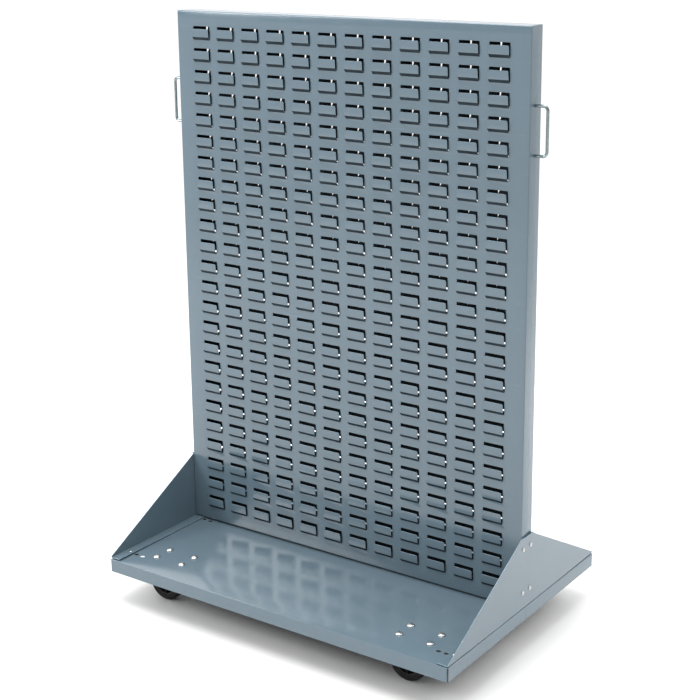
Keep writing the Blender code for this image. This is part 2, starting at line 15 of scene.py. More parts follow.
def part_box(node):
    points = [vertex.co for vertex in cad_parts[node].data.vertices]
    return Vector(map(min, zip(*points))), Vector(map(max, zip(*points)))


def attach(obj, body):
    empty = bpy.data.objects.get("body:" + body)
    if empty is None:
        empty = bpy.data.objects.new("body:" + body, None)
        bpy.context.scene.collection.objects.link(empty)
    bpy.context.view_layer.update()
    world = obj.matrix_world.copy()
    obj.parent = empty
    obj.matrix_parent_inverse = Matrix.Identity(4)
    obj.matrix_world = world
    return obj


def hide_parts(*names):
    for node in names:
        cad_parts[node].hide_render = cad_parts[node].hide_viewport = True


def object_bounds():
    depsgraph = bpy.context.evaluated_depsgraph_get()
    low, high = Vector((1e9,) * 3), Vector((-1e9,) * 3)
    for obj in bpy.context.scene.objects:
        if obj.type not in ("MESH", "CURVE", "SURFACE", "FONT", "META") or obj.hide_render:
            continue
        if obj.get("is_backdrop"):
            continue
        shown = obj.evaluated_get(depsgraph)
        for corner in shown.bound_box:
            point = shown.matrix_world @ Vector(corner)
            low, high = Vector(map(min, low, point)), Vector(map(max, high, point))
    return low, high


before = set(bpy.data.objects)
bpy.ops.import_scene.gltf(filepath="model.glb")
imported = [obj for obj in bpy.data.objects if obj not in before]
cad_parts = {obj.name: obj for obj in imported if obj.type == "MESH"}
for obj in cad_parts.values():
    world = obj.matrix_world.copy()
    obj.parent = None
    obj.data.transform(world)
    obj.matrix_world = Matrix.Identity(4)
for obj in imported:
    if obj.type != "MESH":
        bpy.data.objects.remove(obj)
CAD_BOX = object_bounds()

SIDES = {"left": -1, "right": 1}
ENDS = {"front": -1, "rear": 1}

# Sheet metal
SHEET = 0.0015
FOLD_RADIUS = 0.0026
TIGHT_RADIUS = 0.0017
FOLD_STEPS = 4
SEAM = 0.0004
EDGE_BEVEL = 0.00022
EDGE_BEVEL_ANGLE = math.radians(55)
SOLID_BEVEL_ANGLE = math.radians(35)
SHARP_ANGLE = math.radians(32)
SAME_PLACE = 1e-6

# Limits for the Z of a face's normal
FACING_DOWN = -0.6
UPRIGHT = 0.5

# Louvres, in the panel's own width and height
COLUMNS = 12
ROWS = 24
COLUMN_PITCH = 0.06985
ROW_PITCH = 0.0494
FIRST_ROW_DROP = 0.0343
REAR_ROW_RISE = 0.014
HOLE_WIDTH = 0.048
HOLE_HEIGHT = 0.031
HOLE_CORNER = 0.0016
TONGUE_KERF = 0.0006
TONGUE_TAPER = 0.0012
TONGUE_CORNER = 0.0028
TONGUE_CORNER_ROW = 1.6
TONGUE_REACH = 0.0052
TONGUE_HEIGHT = 0.0250
JOGGLE_HEIGHT = 0.0070
JOGGLE_STEPS = 6
TONGUE_TILT = 0.022
TONGUE_TWIST = 0.008

# Base trays and gussets
SLOT_LENGTH = 0.0115
SLOT_WIDTH = 0.0085
SLOT_X = (0.404, 0.4225)
SLOT_Y = (0.028, 0.272)
GUSSET_TOE = 0.005
GUSSET_FOOT_STEPS = 16
GUSSET_LIFT = 0.0018
FLANGE_TILT = 0.0010
LIP_REACH = 0.0035
LIP_RADIUS = 0.0008

# Fasteners; a head is (radius, height), a tip (share of the shank, height)
HEAD_RIM = 0.16
SCREW_HEAD = (0.0046, 0.0028)
PULL_SCREW_HEAD = (0.0036, 0.0022)
SCREW_SHANK = 0.0022
SCREW_TIP = (0.6, 0.0012)
SCREW_LENGTH = 0.009
RECESS_WIDTH = 0.0011
RECESS_SPAN = 1.05
RECESS_LEVEL = 1.05
RECESS_HEIGHT = 1.2
BOLT_SPACING = (0.0762, 0.0445)
BOLT_HEAD = (0.0085, 0.0044)
BOLT_SHANK = 0.0038
BOLT_TAIL = 0.0012
BOLT_TAIL_CHAMFER = 0.0008
BOLT_TAIL_TAPER = 0.8
NUT_RADIUS = 0.0073
NUT_HEIGHT = 0.0052

# Wire pulls
PULL_RADIUS = 0.0032
PULL_BEND = 0.009
PULL_FOOT = 0.004
PULL_BEND_STEPS = 8

# Casters: top plate, upper race and kingpin; profiles are (radius, depth) points
PLATE_HALF = (0.049, 0.032)
PLATE_THICKNESS = 0.0027
PLATE_CORNER = 0.006
RACE_DROP = 0.0055
UPPER_RACE = (
    (0.0, -0.0005),
    (0.0260, -0.0005),
    (0.0250, 0.0012),
    (0.02425, RACE_DROP - 0.0012),
    (0.0225, RACE_DROP),
    (0.0, RACE_DROP),
)
PIN_RADIUS = 0.0046
PIN_OVERLAP = 0.0005
RIVET_HEAD = ((0.0088, 0.0003), (0.0084, 0.0018), (0.0050, 0.0030), (0.0, 0.0033))
PRESSED_BEVEL = 0.0004
BOLT_BEVEL = 0.0003

# Casters: fork, lower race and axle
FORK_SHEET = 0.0025
FORK_HALF_INNER = 0.0175
FORK_BEND = 0.006
FORK_BEND_STEPS = 5
FORK_EYE = 0.011
FORK_EYE_STEPS = 8
FORK_EYE_TIP = 0.0001
FORK_NECK = 0.006
FORK_FRONT_SLOPE = 0.5
FORK_BACK_POWER = 1.5
FORK_DIVISIONS = 4
CROWN_LEVEL = 0.0945
CROWN_HALF = 0.022
LOWER_RACE = (
    (0.0055, 0.0005),
    (0.0195, 0.0005),
    (0.0205, -0.0008),
    (0.0190, -0.0030),
    (0.0055, -0.0030),
)
AXLE_RADIUS = 0.0040
AXLE_TAIL = 0.006
AXLE_GAP = 0.0003
HEX_RADIUS = 0.0075
HEX_HEIGHT = 0.0045
HEX_TURN = math.radians(17)
WASHER_RADIUS = 0.0082
WASHER_HEIGHT = 0.0009

# Casters: hub and tyre; a pair is a measure at the boss or web, then at the rim's edge
HUB_BORE = 0.0045
HUB_BOSS = 0.0105
HUB_RIM = 0.0307
BOSS_PROUD = 0.0008
BOSS_DRAFT = 0.0006
WEB_HALF = (0.0045, 0.0040)
RIM_WALL = (0.0040, 0.0030)
RIM_SINK = (0.0022, 0.0016)
RIB_COUNT = 8
RIB_THICKNESS = 0.0022
RIB_GAP = 0.003
RIB_SHIFT = 0.0008
TYRE_BORE = 0.0310
TYRE_BEAD = 0.0012
TYRE_WALL_STEP = 0.0008
TYRE_SHOULDER = 0.0072
TYRE_SHOULDER_STEPS = 6
TYRE_CROWN = 0.0004

# Facets round each turned shape
SCREW_FACETS = 28
BOLT_FACETS = 16
PIN_FACETS = 24
RACE_FACETS = 36
AXLE_FACETS = 20
HUB_FACETS = 48
TYRE_FACETS = 72

# Colours
PAINT_COLOUR = (0.104, 0.152, 0.186)
# The next colour is near-black painted shade for the insides of the folded sheets
PAINTED_SHADE_COLOUR = (0.020, 0.024, 0.028)
STEEL_COLOUR = (0.62, 0.63, 0.64)
ZINC_COLOUR = (0.72, 0.73, 0.72)
WIRE_COLOUR = (0.30, 0.36, 0.38)
SETTLED_DUST = (0.40, 0.43, 0.45)
RUBBER_COLOURS = (0.006, 0.006, 0.0065), (0.060, 0.058, 0.054)
NYLON_COLOURS = (0.008, 0.008, 0.009), (0.016, 0.016, 0.017)
NYLON_SCUFF = (0.05, 0.05, 0.05)
FLOOR_COLOURS = (0.86, 0.86, 0.86), (0.88, 0.88, 0.88)

# Camera and floor
FLOOR_HALF = 60
CAMERA_PLACE = (1.831855, -2.610571, 1.587971)
CAMERA_AZIMUTH = math.radians(35.018)
CAMERA_ELEVATION = math.radians(14.388)
CAMERA_ROLL = math.radians(-0.545)
CAMERA_LENS = 76.51
CAMERA_SENSOR = 36
CAMERA_SHIFT_Y = -0.1
CAMERA_FAR = 200

# Studio. A wall is (direction, strength, spread); a lamp is (name, place, target, size, watts).
SKY_LEVEL = 0.14
SKY_TOP = 1.4
SKY_WALLS = (
    ((-0.75, 0.66, 0.05), 0.9, 2.0),
    ((0.80, 0.42, 0.42), 0.1, 4.0),
)
LAMPS = (
    ("front_left_soft_box", (-2.4, -2.5, 2.1), (0.0, -0.2, 0.3), 1.1, 48.0),
    ("overhead_soft_box", (-0.1, -0.45, 3.3), (0.0, -0.2, 0.0), 2.2, 70.0),
    ("floor_soft_box", (1.6, 1.3, 1.3), (1.5, 1.2, 0.0), 0.9, 17.0),
)


# Node helpers


def maths_node(tree, operation, first, second):
    """A maths node's result; each of its inputs is a number or another node's output."""
    made = tree.nodes.new("ShaderNodeMath")
    made.operation = operation
    for socket, value in zip(made.inputs, (first, second)):
        if isinstance(value, (int, float)):
            socket.default_value = value
        else:
            tree.links.new(value, socket)
    return made.outputs["Value"]


class Surface:
    """A material being built: its node tree, its Principled shader and short ways to add nodes."""

    def __init__(self, name, **constants):
        self.material = bpy.data.materials.new(name)
        self.material.use_nodes = True
        self.tree = self.material.node_tree
        self.shader = self.tree.nodes["Principled BSDF"]
        self.place = self.tree.nodes.new("ShaderNodeTexCoord").outputs["Object"]
        for socket, value in constants.items():
            self.shader.inputs[socket.replace("_", " ")].default_value = value

    def node(self, kind, **settings):
        made = self.tree.nodes.new("ShaderNode" + kind)
        for key, value in settings.items():
            setattr(made, key, value)
        return made

    def link(self, source, target):
        self.tree.links.new(source, target)

    def stretched(self, scale):
        mapping = self.node("Mapping")
        mapping.inputs["Scale"].default_value = scale
        self.link(self.place, mapping.inputs["Vector"])
        return mapping.outputs["Vector"]

    def noise(self, scale, detail=3.0, roughness=0.55, vector=None):
        made = self.node("TexNoise")
        made.inputs["Scale"].default_value = scale
        made.inputs["Detail"].default_value = detail
        made.inputs["Roughness"].default_value = roughness
        self.link(vector or self.place, made.inputs["Vector"])
        return made.outputs["Fac"]

    def ranged(self, value, low, high, start=0.3, end=0.7):
        made = self.node("MapRange", clamp=True)
        limits = {"From Min": start, "From Max": end, "To Min": low, "To Max": high}
        for socket, number in limits.items():
            made.inputs[socket].default_value = number
        self.link(value, made.inputs["Value"])
        return made.outputs["Result"]

    def maths(self, operation, first, second):
        return maths_node(self.tree, operation, first, second)

    def blend(self, factor, first, second, mode="MIX"):
        made = self.node("Mix", data_type="RGBA", blend_type=mode)
        self.link(factor, made.inputs["Factor"])
        for socket, value in ((made.inputs[6], first), (made.inputs[7], second)):
            if isinstance(value, tuple):
                socket.default_value = (*value, 1)
            else:
                self.link(value, socket)
        return made.outputs[2]

    def bump(self, height, strength, distance, below=None):
        made = self.node("Bump")
        made.inputs["Strength"].default_value = strength
        made.inputs["Distance"].default_value = distance
        self.link(height, made.inputs["Height"])
        if below:
            self.link(below, made.inputs["Normal"])
        return made.outputs["Normal"]

    def finish(self, colour=None, roughness=None, normal=None, metallic=None):
        sources = {
            "Base Color": colour,
            "Roughness": roughness,
            "Normal": normal,
            "Metallic": metallic,
        }
        for socket, source in sources.items():
            if source:
                self.link(source, self.shader.inputs[socket])
        return self.material


def shade(colour, factor):
    return tuple(channel * factor for channel in colour)


# Materials


def paint_material(name, colour, dust, scuffs):
    """Satin blue-grey powder coat: faint mottling, orange peel, dust on level faces, scuffs."""
    s = Surface(name, Specular_IOR_Level=0.5, Coat_Weight=0.35, Coat_Roughness=0.10)
    mottle = s.ranged(s.noise(4.5, 5.0), 0.0, 1.0)
    tint = s.blend(mottle, shade(colour, 0.97), shade(colour, 1.03))
    speckle = s.ranged(s.noise(1400.0, 2.0), 0.0, 0.12, 0.35, 0.75)
    tint = s.blend(speckle, tint, shade(colour, 1.35))
    level = s.node("SeparateXYZ")
    s.link(s.node("NewGeometry").outputs["Normal"], level.inputs["Vector"])
    settled = s.ranged(level.outputs["Z"], 0.0, dust, 0.80, 0.98)
    patchy = s.maths("MULTIPLY", settled, s.ranged(s.noise(9.0, 6.0), 0.3, 1.0))
    tint = s.blend(patchy, tint, SETTLED_DUST)
    scratch = s.noise(1.0, 2.0, 0.5, s.stretched((14.0, 420.0, 160.0)))
    scratched = s.ranged(scratch, 0.0, scuffs, 0.66, 0.72)
    tint = s.blend(scratched, tint, shade(colour, 1.5))
    satin = s.ranged(s.noise(24.0, 5.0), 0.13, 0.18)
    worn = s.maths("ADD", satin, s.maths("MULTIPLY", patchy, 0.25))
    peel = s.bump(s.noise(420.0, 2.0), 0.04, 0.0003)
    waves = s.bump(s.noise(5.0, 1.0), 0.05, 0.0008, peel)
    return s.finish(tint, worn, waves)


def edge_material(name, colour):
    """Paint on a sheared edge, chipped through to steel in places, and lightened past the paint as
    a painted highlight along the edge.
    """
    s = Surface(name, Specular_IOR_Level=0.5)
    # Painted highlight: the edge colour is 1.5 to 2.4 times the paint's
    edge_highlight_tint = s.blend(s.ranged(s.noise(60.0, 3.0), 0.0, 1.0), shade(colour, 1.5), shade(colour, 2.4))
    chips = s.ranged(s.noise(130.0, 5.0), 0.0, 1.0, 0.66, 0.70)
    tint = s.blend(chips, edge_highlight_tint, STEEL_COLOUR)
    rough = s.ranged(s.noise(300.0, 2.0), 0.28, 0.46)
    burr = s.bump(s.noise(700.0, 2.0), 0.15, 0.0002)
    return s.finish(tint, rough, burr, s.maths("MULTIPLY", chips, 0.9))


def painted_shade_material(name, colour):
    """Dull dark coat of painted shade: inside the folded sheets, and in the deep joggles of the
    tongues.
    """
    s = Surface(name, Specular_IOR_Level=0.12)
    tint = s.blend(s.ranged(s.noise(30.0, 5.0), 0.0, 1.0), shade(colour, 0.8), shade(colour, 1.5))
    rough = s.ranged(s.noise(90.0, 3.0), 0.60, 0.80)
    return s.finish(tint, rough, s.bump(s.noise(500.0, 2.0), 0.2, 0.0003))


def plated_material(name, colour, roughness, cloud, scratches):
    """Plated steel: cloudy tint, fine crossed scratches and a slightly uneven skin."""
    s = Surface(name, Metallic=1.0, Specular_IOR_Level=0.5)
    tint = s.blend(s.ranged(s.noise(120.0, 4.0), 0.0, 1.0), shade(colour, 1 - cloud), colour)
    stain = s.ranged(s.noise(420.0, 3.0), 0.0, 0.35, 0.62, 0.74)
    tint = s.blend(stain, tint, shade(colour, 0.45))
    along = s.noise(1.0, 2.0, 0.5, s.stretched((90.0, 2600.0, 900.0)))
    across = s.noise(1.0, 2.0, 0.5, s.stretched((2600.0, 90.0, 900.0)))
    lines = s.ranged(s.maths("MAXIMUM", along, across), 0.0, scratches, 0.60, 0.74)
    rough = s.maths("ADD", s.ranged(s.noise(260.0, 4.0), roughness * 0.75, roughness * 1.25), lines)
    return s.finish(tint, rough, s.bump(s.noise(900.0, 2.0), 0.12, 0.0001))


def rubber_material(name):
    """Black tread rubber, greyed by floor dust and finely pitted."""
    s = Surface(name, Specular_IOR_Level=0.35)
    dust = s.ranged(s.noise(38.0, 6.0), 0.0, 0.12, 0.45, 0.80)
    tint = s.blend(dust, *RUBBER_COLOURS)
    rough = s.ranged(s.noise(70.0, 4.0), 0.55, 0.80)
    return s.finish(tint, rough, s.bump(s.noise(1100.0, 3.0), 0.25, 0.0003))


def nylon_material(name):
    """Moulded dark nylon with a fine spark texture and scuffs."""
    s = Surface(name, Specular_IOR_Level=0.4)
    tint = s.blend(s.ranged(s.noise(50.0, 5.0), 0.0, 1.0), *NYLON_COLOURS)
    scuff = s.ranged(s.noise(1.0, 3.0, 0.5, s.stretched((60.0, 700.0, 60.0))), 0.0, 0.4, 0.62, 0.72)
    tint = s.blend(scuff, tint, NYLON_SCUFF)
    rough = s.ranged(s.noise(220.0, 3.0), 0.40, 0.62)
    return s.finish(tint, rough, s.bump(s.noise(1500.0, 2.0), 0.3, 0.0002))


PAINT = paint_material("satin_blue_grey_paint", PAINT_COLOUR, 0.05, 0.20)
# Painted shade under the tongues: the joggles get the paint darkened to 0.18 in a dull coat
JOGGLE_PAINTED_SHADE = painted_shade_material("painted_shade_in_the_joggles", shade(PAINT_COLOUR, 0.18))
# Edge paint, lightened as a painted highlight, with real chips through to steel
EDGE_PAINT_AND_HIGHLIGHT = edge_material("sheared_edge_paint_and_highlight", PAINT_COLOUR)
# Painted shade in a near-black coat: the insides of the sheets, the panels' bottom folds, and the
# trays' slot walls and flange ends
INSIDE_PAINTED_SHADE = painted_shade_material("dark_inside_painted_shade", PAINTED_SHADE_COLOUR)
ZINC = plated_material("bright_zinc", ZINC_COLOUR, 0.30, 0.18, 0.12)
CHROME = plated_material("chromed_wire", WIRE_COLOUR, 0.13, 0.30, 0.06)
RUBBER = rubber_material("tread_rubber")
NYLON = nylon_material("hub_nylon")

# Places of the inside coat and the joggle coat, both painted shade, and of the edge paint with its
# painted highlight, in a folded sheet's list of materials
DARK_SLOT, EDGE_SLOT, JOGGLE_SLOT = 1, 2, 3


# Mesh helpers


def add_object(name, mesh):
    obj = bpy.data.objects.new(name, mesh)
    bpy.context.scene.collection.objects.link(obj)
    return obj


def mesh_from(name, bm):
    """The bmesh as a mesh; the bmesh is freed."""
    mesh = bpy.data.meshes.new(name)
    bm.to_mesh(mesh)
    bm.free()
    return mesh


def bmesh_from(mesh):
    """The mesh as a bmesh; the mesh is removed."""
    bm = bmesh.new()
    bm.from_mesh(mesh)
    bpy.data.meshes.remove(mesh)
    return bm


def evaluated_mesh(obj):
    """A new mesh of what an object's modifiers, or its curve, come to."""
    graph = bpy.context.evaluated_depsgraph_get()
    return bpy.data.meshes.new_from_object(obj.evaluated_get(graph))


def settle(obj):
    """Makes the modifiers' result the object's own mesh and sets its smooth shading."""
    mesh = evaluated_mesh(obj)
    obj.modifiers.clear()
    old, obj.data = obj.data, mesh
    bpy.data.meshes.remove(old)
    mesh.name = obj.name
    mesh.shade_smooth()
    mesh.set_sharp_from_angle(angle=SHARP_ANGLE)


def bmesh_from_curve(curve):
    """What a curve's fill or bevel comes to, as a welded bmesh."""
    obj = add_object("curve", curve)
    mesh = evaluated_mesh(obj)
    bpy.data.objects.remove(obj)
    return weld(bmesh_from(mesh))


def add_bevel(obj, width, segments, angle):
    bevel = obj.modifiers.new("bevel", "BEVEL")
    bevel.width = width
    bevel.segments = segments
    bevel.limit_method = "ANGLE"
    bevel.angle_limit = angle
    return bevel


def add_shell(obj, thickness):
    """Thickens an open skin inward, away from its normals."""
    shell = obj.modifiers.new("sheet", "SOLIDIFY")
    shell.thickness = thickness
    shell.offset = -1
    shell.use_even_offset = True
    return shell


def solid(name, bm, material, bevel=0.0):
    """An object from a closed bmesh, with an optional bevel, smooth except past the sharp angle."""
    bmesh.ops.recalc_face_normals(bm, faces=bm.faces)
    mesh = mesh_from(name, bm)
    mesh.materials.append(material)
    obj = add_object(name, mesh)
    if bevel:
        add_bevel(obj, bevel, 2, SOLID_BEVEL_ANGLE)
    settle(obj)
    return obj


def sheet_part(name, bm):
    """Thickens an open skin, whose normals face outward, into painted sheet steel."""
    mesh = mesh_from(name, bm)
    # The inner shell gets the near-black coat, painted shade; rims and bevels get the edge paint,
    # lightened as a painted highlight
    for material in (PAINT, INSIDE_PAINTED_SHADE, EDGE_PAINT_AND_HIGHLIGHT, JOGGLE_PAINTED_SHADE):
        mesh.materials.append(material)
    obj = add_object(name, mesh)
    shell = add_shell(obj, SHEET)
    shell.material_offset = DARK_SLOT
    shell.material_offset_rim = EDGE_SLOT
    add_bevel(obj, EDGE_BEVEL, 1, EDGE_BEVEL_ANGLE).material = EDGE_SLOT
    settle(obj)
    return obj


def fold(bm, rail, outward, normal, depth, laps=(0, 0), radius=FOLD_RADIUS, toward=-1, tilt=0):
    """Folds a flange off a row of verts: outward round a bend, then depth deep behind the sheet.

    It runs on past the row's two ends by laps, leans back by tilt, and goes in front of the
    sheet where toward is 1.
    """
    outward, normal = Vector(outward), Vector(normal)
    along = (rail[-1].co - rail[0].co).normalized()
    if outward.cross(along).dot(normal) < 0:
        rail, laps = rail[::-1], laps[::-1]
        along = -along
    sections = []
    for step in range(1, FOLD_STEPS + 1):
        angle = math.pi / 2 * step / FOLD_STEPS
        sections.append((radius * math.sin(angle), radius * (1 - math.cos(angle)), math.sin(angle)))
    sections.append((radius - tilt, depth, 1.0))
    previous = rail
    for out, behind, share in sections:
        row = []
        for index, vert in enumerate(rail):
            lap = laps[1] * (index == len(rail) - 1) - laps[0] * (index == 0)
            place = vert.co + outward * out + normal * toward * behind + along * lap * share
            row.append(bm.verts.new(place))
        for index in range(len(rail) - 1):
            bm.faces.new((previous[index], row[index], row[index + 1], previous[index + 1]))
        previous = row


def rail_of(bm, axis, value, order):
    """The verts at one value of an axis, in order along another axis."""
    found = [v for v in bm.verts if abs(v.co[axis] - value) < SAME_PLACE]
    return sorted(found, key=lambda v: v.co[order])


def spun(profile, steps, axis="Z"):
    """A solid of revolution from (radius, height) points, which end on the axis or close."""
    bm = bmesh.new()
    points = [bm.verts.new((radius, 0, height)) for radius, height in profile]
    pairs = list(zip(points, points[1:]))
    if profile[0][0] > 0 and profile[-1][0] > 0:
        pairs.append((points[-1], points[0]))
    edges = [bm.edges.new(pair) for pair in pairs]
    bmesh.ops.spin(
        bm,
        geom=points + edges,
        cent=(0, 0, 0),
        axis=(0, 0, 1),
        angle=math.tau,
        steps=steps,
        use_merge=True,
    )
    return laid_along_y(weld(bm)) if axis == "Y" else weld(bm)


def weld(bm):
    bmesh.ops.remove_doubles(bm, verts=bm.verts, dist=SAME_PLACE)
    return bm


def moved(bm, vector):
    bmesh.ops.translate(bm, verts=bm.verts, vec=vector)
    return bm


def turned(bm, angle, axis):
    bmesh.ops.rotate(bm, verts=bm.verts, matrix=Matrix.Rotation(angle, 3, axis))
    return bm


def laid_along_y(bm):
    """Turns a shape that stands along Z to lie along Y."""
    return turned(bm, -math.pi / 2, "X")


def joined(*parts):
    """One bmesh holding all the given ones."""
    whole = bmesh.new()
    for bm in parts:
        mesh = mesh_from("joined", bm)
        whole.from_mesh(mesh)
        bpy.data.meshes.remove(mesh)
    return whole


def prism(radius, sides, low, high, axis="Z", turn=0.0):
    """A closed prism or cylinder between two levels on an axis."""
    bm = bmesh.new()
    bmesh.ops.create_cone(
        bm,
        cap_ends=True,
        segments=sides,
        radius1=radius,
        radius2=radius,
        depth=high - low,
        matrix=Matrix.Translation((0, 0, (low + high) / 2)) @ Matrix.Rotation(turn, 4, "Z"),
    )
    return laid_along_y(bm) if axis == "Y" else bm


def ride(obj, body, slot, *nodes):
    """Hands a piece to the frame: the body it rides and the CAD nodes it replaces; the finish,
    slot, is not used.
    """
    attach(obj, body)
    if nodes:
        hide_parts(*nodes)
    return obj


# Louvre panels


def tongue_profile():
    """(reach, rise) along a tongue: an S-shaped joggle out of the sheet, then a flat blade."""
    points = []
    for step in range(JOGGLE_STEPS + 1):
        share = step / JOGGLE_STEPS
        eased = share * share * (3 - 2 * share)
        points.append((TONGUE_REACH * eased, JOGGLE_HEIGHT * share))
    points.append((TONGUE_REACH, TONGUE_HEIGHT - TONGUE_CORNER * TONGUE_CORNER_ROW))
    points.append((TONGUE_REACH, TONGUE_HEIGHT))
    return points


def tongue_columns(width):
    """(offset along the tongue, share of the corner radius cut off its top) for each column."""
    diagonal = 1 - math.cos(math.pi / 4)
    near = [(0.0, 1.0), (TONGUE_CORNER * diagonal, diagonal), (TONGUE_CORNER, 0.0)]
    return near + [(width - offset, cut) for offset, cut in reversed(near)]


def louvre_panel(name, end):
    """A punched pan with one tongue per hole, made facing -Y and turned about Z for the rear."""
    low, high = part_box(name)
    half_width, bottom, top = high.x, low.z, high.z
    face = max(abs(low.y), abs(high.y)) - TONGUE_REACH
    depth = face - min(abs(low.y), abs(high.y))
    rng = random.Random(11 if end < 0 else 23)
    bm = bmesh.new()
    made = {}

    def vert(u, v, reach=0.0):
        key = (round(u, 6), round(v, 6), round(reach, 6))
        if key not in made:
            made[key] = bm.verts.new((u, -face - reach, v))
        return made[key]

    across = [(c - COLUMNS / 2) * COLUMN_PITCH for c in range(COLUMNS + 1)]
    rise = REAR_ROW_RISE if end > 0 else 0
    first = top - FIRST_ROW_DROP + (ROW_PITCH - HOLE_HEIGHT) / 2 + rise
    upward = [first - r * ROW_PITCH for r in range(ROWS + 1)]
    for r in range(ROWS):
        for c in range(COLUMNS):
            louvre_cell(bm, vert, rng, (across[c], across[c + 1]), (upward[r + 1], upward[r]))
    edge_x = half_width - FOLD_RADIUS
    edge_low, edge_high = bottom + FOLD_RADIUS, top - FOLD_RADIUS
    columns = [-edge_x, *across, edge_x]
    rows = [edge_high, *upward, edge_low]
    for r in range(len(rows) - 1):
        for c in range(len(columns) - 1):
            if 0 < r < len(rows) - 2 and 0 < c < len(columns) - 2:
                continue
            x0, x1, z0, z1 = columns[c], columns[c + 1], rows[r + 1], rows[r]
            bm.faces.new((vert(x0, z0), vert(x1, z0), vert(x1, z1), vert(x0, z1)))
    over, under = FOLD_RADIUS - SEAM, FOLD_RADIUS - SHEET - SEAM
    rails = [
        (rail_of(bm, 0, edge_x, 2), (1, 0, 0), over),
        (rail_of(bm, 0, -edge_x, 2), (-1, 0, 0), over),
        (rail_of(bm, 2, edge_high, 0), (0, 0, 1), under),
        (rail_of(bm, 2, edge_low, 0), (0, 0, -1), under),
    ]
    for rail, outward, lap in rails:
        fold(bm, rail, outward, (0, -1, 0), depth, (lap, lap))
    if end > 0:
        turned(bm, math.pi, "Z")
    panel = sheet_part(name + "_sheet", bm)
    # Painted shade: the downward faces of the bottom fold and flange take the near-black inside
    # coat
    for patch in panel.data.polygons:
        if patch.normal.z < FACING_DOWN and patch.center.z < bottom + FOLD_RADIUS:
            patch.material_index = DARK_SLOT
    return ride(panel, "rack", "blue_grey_paint", name)


def louvre_cell(bm, vert, rng, across, upward):
    """One hole with round top corners in its patch of sheet, and the tongue lanced from it."""
    middle = sum(across) / 2
    x0, x1 = middle - HOLE_WIDTH / 2, middle + HOLE_WIDTH / 2
    z0 = upward[0] + (ROW_PITCH - HOLE_HEIGHT) / 2
    z1 = z0 + HOLE_HEIGHT
    turns = (0, math.pi / 4, math.pi / 2)
    arc = [(HOLE_CORNER * math.sin(turn), HOLE_CORNER * math.cos(turn)) for turn in turns]
    left_arc = [vert(x0 + HOLE_CORNER - dz, z1 - HOLE_CORNER + dx) for dx, dz in arc]
    right_arc = [vert(x1 - HOLE_CORNER + dx, z1 - HOLE_CORNER + dz) for dx, dz in arc]
    low_left, low_right, high_left, high_right = [vert(x, z) for z in upward for x in across]
    hole_left, hole_right = vert(x0, z0), vert(x1, z0)
    start, width = x0 + TONGUE_KERF, HOLE_WIDTH - 2 * TONGUE_KERF
    spans = tongue_columns(width)
    base = [vert(start + offset, z0) for offset, _ in spans]
    bm.faces.new((low_left, low_right, hole_right, *reversed(base), hole_left))
    bm.faces.new((low_right, high_right, right_arc[-1], hole_right))
    bm.faces.new((high_right, high_left, *left_arc, *right_arc))
    bm.faces.new((high_left, low_left, hole_left, left_arc[0]))
    tilt = rng.uniform(-1, 1) ** 3 * TONGUE_TILT
    twist = rng.uniform(-1, 1) * TONGUE_TWIST
    profile = tongue_profile()
    previous = base
    for level, (reach, rise) in enumerate(profile[1:], 1):
        row = []
        for offset, cut in spans:
            inset = TONGUE_TAPER * rise / TONGUE_HEIGHT * (1 if offset < width / 2 else -1)
            drop = TONGUE_CORNER * cut if level == len(profile) - 1 else 0.0
            lean = (tilt * rise + twist * (offset - width / 2)) * min(1.0, rise / JOGGLE_HEIGHT)
            row.append(vert(start + offset + inset, z0 + rise - drop, reach + lean))
        for index in range(len(spans) - 1):
            patch = bm.faces.new((previous[index], previous[index + 1], row[index + 1], row[index]))
            # Painted shade: the joggle faces, which face down under the tongue, take the darkened
            # joggle material
            if level <= JOGGLE_STEPS:
                patch.material_index = JOGGLE_SLOT
        previous = row


# Base trays


def obround(x, y, length, width, steps=6):
    """Points round a slot that lies along X."""
    points = []
    for side in (1, -1):
        for step in range(steps + 1):
            angle = (-math.pi / 2 if side > 0 else math.pi / 2) + math.pi * step / steps
            centre = x + side * (length - width) / 2
            points.append((centre + width / 2 * math.cos(angle), y + width / 2 * math.sin(angle)))
    return points


def filled_outline(loops):
    """A flat bmesh facing up, bounded by the first loop, with the others as holes."""
    curve = bpy.data.curves.new("outline", "CURVE")
    curve.dimensions = "2D"
    curve.fill_mode = "BOTH"
    for loop in loops:
        spline = curve.splines.new("POLY")
        spline.points.add(len(loop) - 1)
        for point, (x, y) in zip(spline.points, loop):
            point.co = (x, y, 0, 1)
        spline.use_cyclic_u = True
    bm = bmesh_from_curve(curve)
    for patch in bm.faces:
        if patch.normal.z < 0:
            patch.normal_flip()
    return bm


